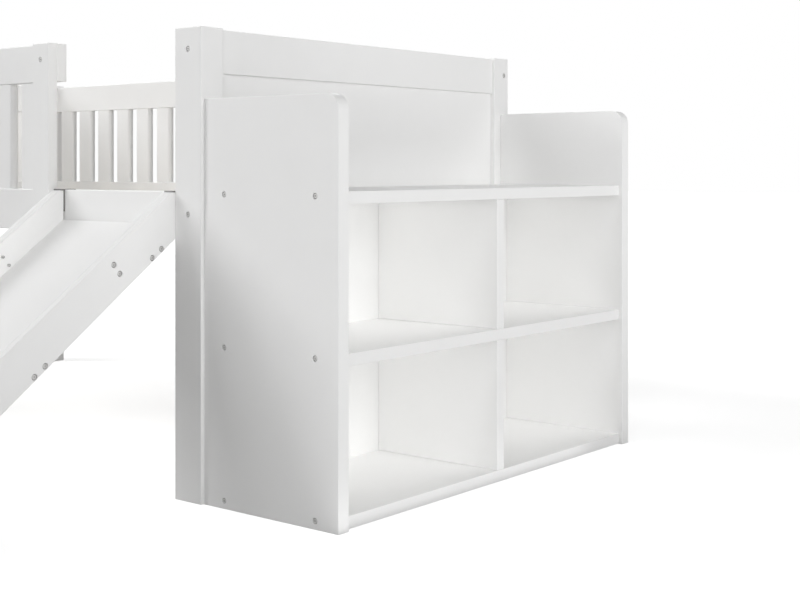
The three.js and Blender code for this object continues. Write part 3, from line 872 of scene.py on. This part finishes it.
@dataclass
class Woodwork:
    """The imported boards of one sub-assembly, with the bolts that hold them.

    `nodes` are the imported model's pieces by name. `packed_bolts` is how the names of its own bolts begin,
    where the sub-assembly has any.
    """

    nodes: dict[str, bpy.types.Object]
    finishes: Finishes
    packed_bolts: tuple[str, ...] = ()

    @property
    def rail_level(self) -> float:
        """The height of the side rails' middle line."""
        low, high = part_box("side_rail_front")
        return (low.z + high.z) / 2

    def paint(self) -> None:
        """Dresses every board of the sub-assembly."""
        raise NotImplementedError

    def bolts(self) -> list[BoltPlace]:
        """The sub-assembly's counterbores.

        Returns:
            One place for each bolt.
        """
        raise NotImplementedError

    def dress(self, names: Iterable[str], finish: Finish, along: Along) -> None:
        """Gives boards their finish.

        Args:
            names: the boards' names.
            finish: the finish to use.
            along: the way they run.
        """
        for name in names:
            board = self.nodes[name]
            board.data.materials.clear()
            board.data.materials.append(finish.material(along))
            LOG.info("%s: %s", name, finish.slot.value)

    def fit_bolts(self, heads: BoltHeads) -> None:
        """Sets a head in every counterbore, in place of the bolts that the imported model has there.

        Args:
            heads: the maker of the heads.
        """
        name = f"{type(self).__name__.lower()}_bolts"
        piece = heads.fit(name, self.bolts(), self.finishes.bolt)
        seated = sorted(node for node in self.nodes if node.startswith(self.packed_bolts))
        if seated:
            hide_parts(*seated)
            LOG.info("%s: in place of %s", name, ", ".join(seated))


@dataclass
class Bedstead(Woodwork):
    """The posts, end frames, side rails, guards and the slats that carry the mattress."""

    packed_bolts: tuple[str, ...] = ("bolt_head", "bolt_guard")
    post_bolt_drop: float = 45 * MM
    rail_inset: float = 5.5 * MM
    rail_thickness: float = 25 * MM

    def paint(self) -> None:
        """Dresses every board of the bed frame."""
        paint, pine = self.finishes.paint, self.finishes.pine
        for end in End:
            self.dress([f"{end}_post_{side}" for side in Side], paint, Along.Z)
            self.dress([f"{end}_top_rail", f"{end}_lower_rail", f"{end}_panel"], paint, Along.Y)
        for side in Side:
            self.dress([f"side_rail_{side}", f"guard_{side}"], paint, Along.X)
            self.dress([f"slat_ledger_{side}"], pine, Along.X)
        self.dress([f"guard_post_{gate}" for gate in Gate], paint, Along.Z)
        slats = [name for name in self.nodes if name.startswith("platform_slat_")]
        self.dress(sorted(slats), pine, Along.Y)

    def bolts(self) -> list[BoltPlace]:
        """The counterbores in the posts and guard posts.

        Returns:
            One place for each bolt.
        """
        places = []
        for end in End:
            for side in Side:
                places += self._post_bolts(end, side)
        for gate in Gate:
            places += self._guard_post_bolts(gate)
        return places

    def _post_bolts(self, end: End, side: Side) -> list[BoltPlace]:
        """The counterbores in one post.

        Args:
            end: the end that the post stands at.
            side: the side that it stands on.

        Returns:
            Two places for the end frame, then one for a side rail and one for the back guard, where the
            post has them.
        """
        low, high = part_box(f"{end}_post_{side}")
        across, upper = (low.x + high.x) / 2, high.z - self.post_bolt_drop
        face, out = side.outer(low, high), end.outer(low, high)
        levels = (upper, self.rail_level)
        places = [BoltPlace(Vector((across, face, level)), side.inward) for level in levels]
        rail_y = face + side.inward.y * (self.rail_inset + self.rail_thickness / 2)
        if end is End.FOOT:
            places.append(BoltPlace(Vector((out, rail_y, self.rail_level)), end.inward))
        if side is Side.BACK:
            places.append(BoltPlace(Vector((out, rail_y, upper)), end.inward))
        return places

    def _guard_post_bolts(self, gate: Gate) -> list[BoltPlace]:
        """The counterbores in one of the short posts that hold the front guard.

        Args:
            gate: the gate that the post stands at.

        Returns:
            A place at the side rail and one at the guard's top rail.
        """
        low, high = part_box(f"guard_post_{gate}")
        levels = (self.rail_level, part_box("head_post_front")[1].z - self.post_bolt_drop)
        across, inward = (low.x + high.x) / 2, Side.FRONT.inward
        return [BoltPlace(Vector((across, low.y, level)), inward) for level in levels]


@dataclass
class Slide(Woodwork):
    """The slide's boards, its chute and the hooks that hang it on the side rail."""

    side_depth: float = 85 * MM
    low_edge: float = 546 * MM
    nose_height: float = 34 * MM
    batten_thickness: float = 14 * MM
    batten_count: int = 3
    batten_top_setback: float = 53.4 * MM
    batten_low_setback: float = 150 * MM
    batten_bolt_spacing: float = 29.6 * MM
    cheek_bolt_setback: float = 149 * MM
    cheek_bolt_edge: float = 34.3 * MM
    cheek_bolt_spacing: float = 23.8 * MM

    @property
    def origin_y(self) -> float:
        """The Y of the posts' front face, from which the slide is measured."""
        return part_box("head_post_front")[0].y

    @property
    def slope(self) -> float:
        """The slide's slope, from its reach and its fall.

        Returns:
            The slope in radians.
        """
        reach = self.origin_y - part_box("slide_side_head")[0].y
        fall = self.low_edge - self.nose_height
        return math.atan2(fall, reach) + math.asin(self.side_depth / math.hypot(fall, reach))

    def paint(self) -> None:
        """Dresses the slide."""
        paint = self.finishes.paint
        for end in End:
            self.dress([f"slide_side_{end}", f"slide_cheek_{end}"], paint, Along.SLOPE)
            self.dress([f"slide_hook_{end}"], self.finishes.hook, Along.X)
        self.dress(["slide_floor"], paint, Along.SLOPE)
        self.dress([f"slide_batten_{i + 1}" for i in range(self.batten_count)], paint, Along.X)

    def _spots(self) -> list[Span]:
        """Where the bolts stand on a side's outer face.

        Returns:
            For each bolt, its way down the slope and its rise square to it.
        """
        lowest = self.low_edge / math.sin(self.slope) - self.batten_low_setback
        step = (lowest - self.batten_top_setback) / (self.batten_count - 1)
        spots = []
        for i in range(self.batten_count):
            centre = self.batten_top_setback + i * step
            for half in (-self.batten_bolt_spacing / 2, self.batten_bolt_spacing / 2):
                spots.append((centre + half, self.batten_thickness / 2))
        spots.append((self.cheek_bolt_setback, self.cheek_bolt_edge))
        spots.append((self.cheek_bolt_setback, self.cheek_bolt_edge + self.cheek_bolt_spacing))
        return spots

    def bolts(self) -> list[BoltPlace]:
        """The counterbores in the outer faces of the two sides.

        Returns:
            One place for each bolt.
        """
        slope = self.slope
        down = Vector((0.0, -math.cos(slope), -math.sin(slope)))
        square = Vector((0.0, -math.sin(slope), math.cos(slope)))
        places = []
        for end in End:
            outer = end.outer(*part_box(f"slide_side_{end}"))
            start = Vector((outer, self.origin_y, self.low_edge))
            for run, rise in self._spots():
                places.append(BoltPlace(start + down * run + square * rise, end.inward))
        return places


@dataclass
class Ladder(Woodwork):
    """The ladder's stringers and treads."""

    tread_count: int = 3

    @property
    def treads(self) -> list[str]:
        """The treads' names, from the lowest up."""
        return [f"ladder_tread_{i + 1}" for i in range(self.tread_count)]

    def paint(self) -> None:
        """Dresses the ladder."""
        self.dress([f"ladder_stringer_{end}" for end in End], self.finishes.paint, Along.Z)
        self.dress(self.treads, self.finishes.paint, Along.X)

    def bolts(self) -> list[BoltPlace]:
        """The counterbores in the stringers: one at each tread, and one at the side rail.

        Returns:
            One place for each bolt.
        """
        places = []
        for end in End:
            low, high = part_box(f"ladder_stringer_{end}")
            for tread in self.treads:
                tread_low, tread_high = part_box(tread)
                level = (tread_low.z + tread_high.z) / 2
                at = Vector((end.outer(low, high), (low.y + high.y) / 2, level))
                places.append(BoltPlace(at, end.inward))
            at = Vector(((low.x + high.x) / 2, low.y, self.rail_level))
            places.append(BoltPlace(at, Side.FRONT.inward))
        return places


@dataclass
class Bookcase(Woodwork):
    """The bookcase across the head end."""

    packed_bolts: tuple[str, ...] = ("bolt_shelf",)
    shelf_bolt_setback: float = 62 * MM
    shelf_bolt_rise: float = 3 * MM
    shelves: tuple[str, ...] = ("shelf_bottom", "shelf_middle", "shelf_top")

    def paint(self) -> None:
        """Dresses the bookcase."""
        paint = self.finishes.paint
        self.dress([f"bookcase_side_{side}" for side in Side], paint, Along.Z)
        self.dress([f"divider_{row}" for row in Row], paint, Along.Z)
        self.dress(["bookcase_back_panel"], paint, Along.Z)
        self.dress(self.shelves, paint, Along.Y)

    def bolts(self) -> list[BoltPlace]:
        """The counterbores in both sides, two at the end of each shelf.

        Returns:
            One place for each bolt.
        """
        places = []
        for side in Side:
            low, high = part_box(f"bookcase_side_{side}")
            for shelf in self.shelves:
                shelf_low, shelf_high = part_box(shelf)
                level = (shelf_low.z + shelf_high.z) / 2 + self.shelf_bolt_rise
                for x in (low.x + self.shelf_bolt_setback, high.x - self.shelf_bolt_setback):
                    places.append(BoltPlace(Vector((x, side.outer(low, high), level)), side.inward))
        return places


@dataclass(frozen=True)
class StudioCamera:
    """A level camera in front of the bookcase's corner, with a shifted lens."""

    place: tuple[float, float, float] = (2.97795, -1.9409, 0.6985)
    heading_degrees: float = 36.81
    lens_mm: float = 59.42
    sensor_mm: float = 36.0
    shift_x: float = -0.1256
    shift_y: float = -0.16625

    def set_up(self) -> None:
        """Makes the camera and gives it to the scene."""
        data = bpy.data.cameras.new("studio_camera")
        data.lens, data.sensor_width = self.lens_mm, self.sensor_mm
        data.shift_x, data.shift_y = self.shift_x, self.shift_y
        camera = add_object("studio_camera", data)
        camera.location = self.place
        camera.rotation_euler = (math.pi / 2, 0.0, math.radians(self.heading_degrees))
        bpy.context.scene.camera = camera


@dataclass(frozen=True)
class SoftLamp:
    """A distant soft lamp.

    `bearing` is where it stands, in degrees from +X towards +Y, `height` its degrees above the horizon,
    `width` the angle that it fills, and `strength` what it gives a surface that faces it.
    """

    name: str
    bearing: float
    height: float
    width: float
    strength: float

    def light(self) -> None:
        """Adds the lamp to the scene."""
        data = bpy.data.lights.new(self.name, "SUN")
        data.energy = self.strength
        data.angle = math.radians(self.width)
        bearing, height = math.radians(self.bearing), math.radians(self.height)
        level = math.cos(height)
        towards = Vector((math.cos(bearing) * level, math.sin(bearing) * level, math.sin(height)))
        lamp = add_object(self.name, data)
        lamp.rotation_mode = "QUATERNION"
        lamp.rotation_quaternion = towards.to_track_quat("Z", "Y")


@dataclass(frozen=True)
class GlowBoard:
    """A level lit board, out of sight of the camera and of reflections.

    `low` and `high` are its corners, `glow` its brightness, where 1 is white, and `level` its height. It
    faces up or down.
    """

    name: str
    low: Span
    high: Span
    glow: float
    level: float = 1.0 * MM
    faces_up: bool = True

    def light(self) -> None:
        """Adds the board to the scene as an area lamp."""
        width, depth = self.high[0] - self.low[0], self.high[1] - self.low[1]
        data = bpy.data.lights.new(self.name, "AREA")
        data.shape = "RECTANGLE"
        data.size, data.size_y = width, depth
        data.energy = math.pi * width * depth * self.glow
        board = add_object(self.name, data)
        board.location = ((self.low[0] + self.high[0]) / 2, (self.low[1] + self.high[1]) / 2, self.level)
        board.rotation_euler = (math.pi if self.faces_up else 0.0, 0.0, 0.0)
        board.visible_camera = False
        board.visible_glossy = False


@dataclass(frozen=True)
class Studio:
    """White floor, white surroundings and the lamps."""

    floor_size: float = 60.0
    floor_colour: Colour = (0.80, 0.80, 0.80)
    bounce_colour: Colour = (0.30, 0.30, 0.30)
    floor_glow: float = 0.65
    sky_colour: Colour = (1.0, 1.0, 1.0)
    sky_strength: float = 0.1
    diffuse_bounces: int = 12
    board_gap: float = 1.0 * MM
    cubby_margin: float = 20.0 * MM
    platform_slats: int = 10
    platform_glow: float = 0.14
    lamps: tuple[SoftLamp, ...] = (
        SoftLamp("key_left", bearing=207.0, height=20.0, width=16.0, strength=0.73),
        SoftLamp("key_middle", bearing=219.0, height=28.0, width=16.0, strength=0.72),
        SoftLamp("key_right", bearing=234.0, height=38.0, width=16.0, strength=0.45),
        SoftLamp("front_left_high", bearing=300.0, height=30.0, width=28.0, strength=0.49),
        SoftLamp("front_left_low", bearing=315.0, height=10.0, width=28.0, strength=0.32),
        SoftLamp("front_level", bearing=0.0, height=6.0, width=20.0, strength=0.27),
        SoftLamp("front_right", bearing=0.0, height=25.0, width=28.0, strength=0.8),
        SoftLamp("back", bearing=135.0, height=22.0, width=28.0, strength=0.4),
    )
    boards: tuple[GlowBoard, ...] = (
        GlowBoard("toe_board", low=(1.24, -0.7), high=(1.34, 0.75), glow=0.76),
        GlowBoard("near_board", low=(1.26, -1.0), high=(2.0, 2.0), glow=0.2),
        GlowBoard("middle_board", low=(2.0, -1.5), high=(3.4, 2.5), glow=1.38),
    )
    cubby_glow: dict[tuple[Row, Side], float] = field(default_factory=lambda: {
        (Row.UPPER, Side.FRONT): 0.26,
        (Row.LOWER, Side.FRONT): 0.25,
        (Row.UPPER, Side.BACK): 0.19,
        (Row.LOWER, Side.BACK): 0.23,
    })

    def set_up(self) -> None:
        """Builds the floor, the world and the lamps, and shows colours as they are."""
        self._world()
        self._floor()
        for lamp in (*self.lamps, *self.boards, self._platform_board(), *self._cubby_boards()):
            lamp.light()
            LOG.info("lamp %s", lamp.name)
        bpy.context.scene.cycles.diffuse_bounces = self.diffuse_bounces
        bpy.context.scene.view_settings.view_transform = "Standard"

    def _platform_board(self) -> GlowBoard:
        """A faint board on the slats, for the light that bedding passes on to the back guard.

        Returns:
            The board, facing up.
        """
        first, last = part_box("platform_slat_1"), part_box(f"platform_slat_{self.platform_slats}")
        return GlowBoard(
            "platform_board",
            low=(min(first[0].x, last[0].x), first[0].y),
            high=(max(first[1].x, last[1].x), first[1].y),
            glow=self.platform_glow,
            level=first[1].z + self.board_gap,
        )

    def _cubby_boards(self) -> list[GlowBoard]:
        """A faint board under each cubby's ceiling, for the light that white walls pass on.

        Returns:
            The boards, facing down.
        """
        back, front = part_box("bookcase_back_panel")[1].x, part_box("shelf_top")[1].x
        boards = []
        for row, ceiling in ((Row.UPPER, "shelf_top"), (Row.LOWER, "shelf_middle")):
            left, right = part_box(f"divider_{row}")
            spans = {
                Side.FRONT: (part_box("bookcase_side_front")[1].y, left.y),
                Side.BACK: (right.y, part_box("bookcase_side_back")[0].y),
            }
            for side, (low, high) in spans.items():
                boards.append(GlowBoard(
                    f"cubby_{row}_{side}",
                    low=(back + self.cubby_margin, low + self.cubby_margin),
                    high=(front - self.cubby_margin, high - self.cubby_margin),
                    glow=self.cubby_glow[row, side],
                    level=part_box(ceiling)[0].z - self.board_gap,
                    faces_up=False,
                ))
        return boards

    @staticmethod
    def _seen(graph: Graph) -> Socket:
        """Tells rays that see a surface from rays that gather its light.

        Args:
            graph: the world's or a material's graph.

        Returns:
            A value that is 1 to the camera and in reflections, and 0 where light is gathered.
        """
        path = graph.add("ShaderNodeLightPath").outputs
        mirrored = graph.math("MAXIMUM", path["Is Glossy Ray"], path["Is Transmission Ray"])
        return graph.math("MAXIMUM", path["Is Camera Ray"], mirrored)

    def _world(self) -> None:
        """White to the camera and in reflections, softer as a light."""
        world = bpy.data.worlds.new("studio")
        bpy.context.scene.world = world
        world.use_nodes = True
        graph = Graph(world.node_tree)
        strength = graph.remap(self._seen(graph), Ramp(ZERO_TO_ONE, (self.sky_strength, 1.0)))
        inputs = {"Color": rgba(self.sky_colour), "Strength": strength}
        graph.put(world.node_tree.nodes["Background"], inputs)

    def _floor(self) -> None:
        """A floor that looks white in the open and takes the bed's shadow: a glow under a lit surface."""
        half = self.floor_size / 2
        mesh = bpy.data.meshes.new("studio_floor")
        corners = [(-half, -half, 0.0), (half, -half, 0.0), (half, half, 0.0), (-half, half, 0.0)]
        mesh.from_pydata(corners, [], [(0, 1, 2, 3)])
        material = bpy.data.materials.new("studio_floor")
        material.use_nodes = True
        graph, nodes = Graph(material.node_tree), material.node_tree.nodes
        nodes.remove(nodes["Principled BSDF"])
        seen = self._seen(graph)
        colour = graph.mix(seen, rgba(self.bounce_colour), rgba(self.floor_colour))
        lit = graph.put(graph.add("ShaderNodeBsdfDiffuse"), {"Color": colour})
        strength = graph.math("MULTIPLY", seen, self.floor_glow)
        glow = graph.put(graph.add("ShaderNodeEmission"), {"Strength": strength})
        both = graph.put(graph.add("ShaderNodeAddShader"), {0: lit.outputs[0], 1: glow.outputs[0]})
        graph.put(nodes["Material Output"], {"Surface": both.outputs[0]})
        mesh.materials.append(material)
        add_object("studio_floor", mesh)


def main() -> None:
    """Builds the picture: frame, camera, boards, bolts and studio."""
    logging.basicConfig(level=logging.INFO, format="%(name)s: %(message)s")
    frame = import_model()
    nodes, finishes, heads = frame["nodes"], Finishes(), BoltHeads()
    StudioCamera().set_up()
    slide = Slide(nodes, finishes)
    finishes.paint.slope = slide.slope
    for part in (Bedstead(nodes, finishes), slide, Ladder(nodes, finishes), Bookcase(nodes, finishes)):
        part.paint()
        part.fit_bolts(heads)
    Studio().set_up()


if __name__ == "__main__":
    main()
